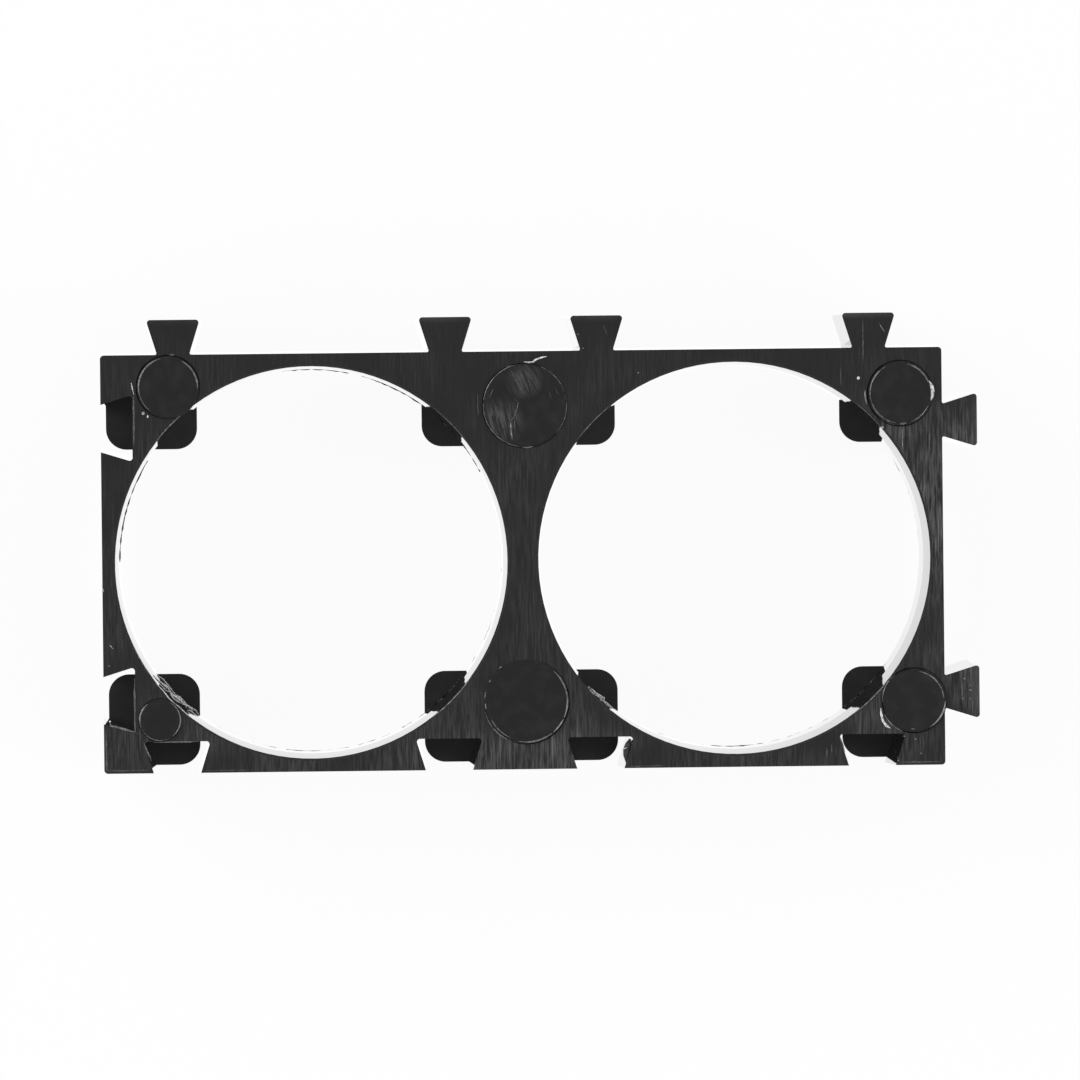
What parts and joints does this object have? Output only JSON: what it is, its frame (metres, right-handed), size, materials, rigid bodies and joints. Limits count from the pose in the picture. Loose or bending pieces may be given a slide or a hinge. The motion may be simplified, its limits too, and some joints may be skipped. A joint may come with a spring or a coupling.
{
  "type": "battery cell holder bracket",
  "caption": "Moulded plastic bracket with two side-by-side bores for cylindrical cells, corner end stops, and dovetails that clip it to its neighbours.",
  "frame": {"origin": "middle of the bracket's outline, tongues included, on the surface that its end stops stand on", "axes": "+X from cell to cell and towards the side tongues, +Y towards the long side's tongues, +Z along the bores, out of the mouth that the cells enter by"},
  "size_m": [0.042, 0.0218, 0.0097],
  "materials": {
    "black_abs": "satin moulded black ABS"
  },
  "bodies": {
    "root": {"cell_bracket": "black_abs"}
  },
  "joints": []
}
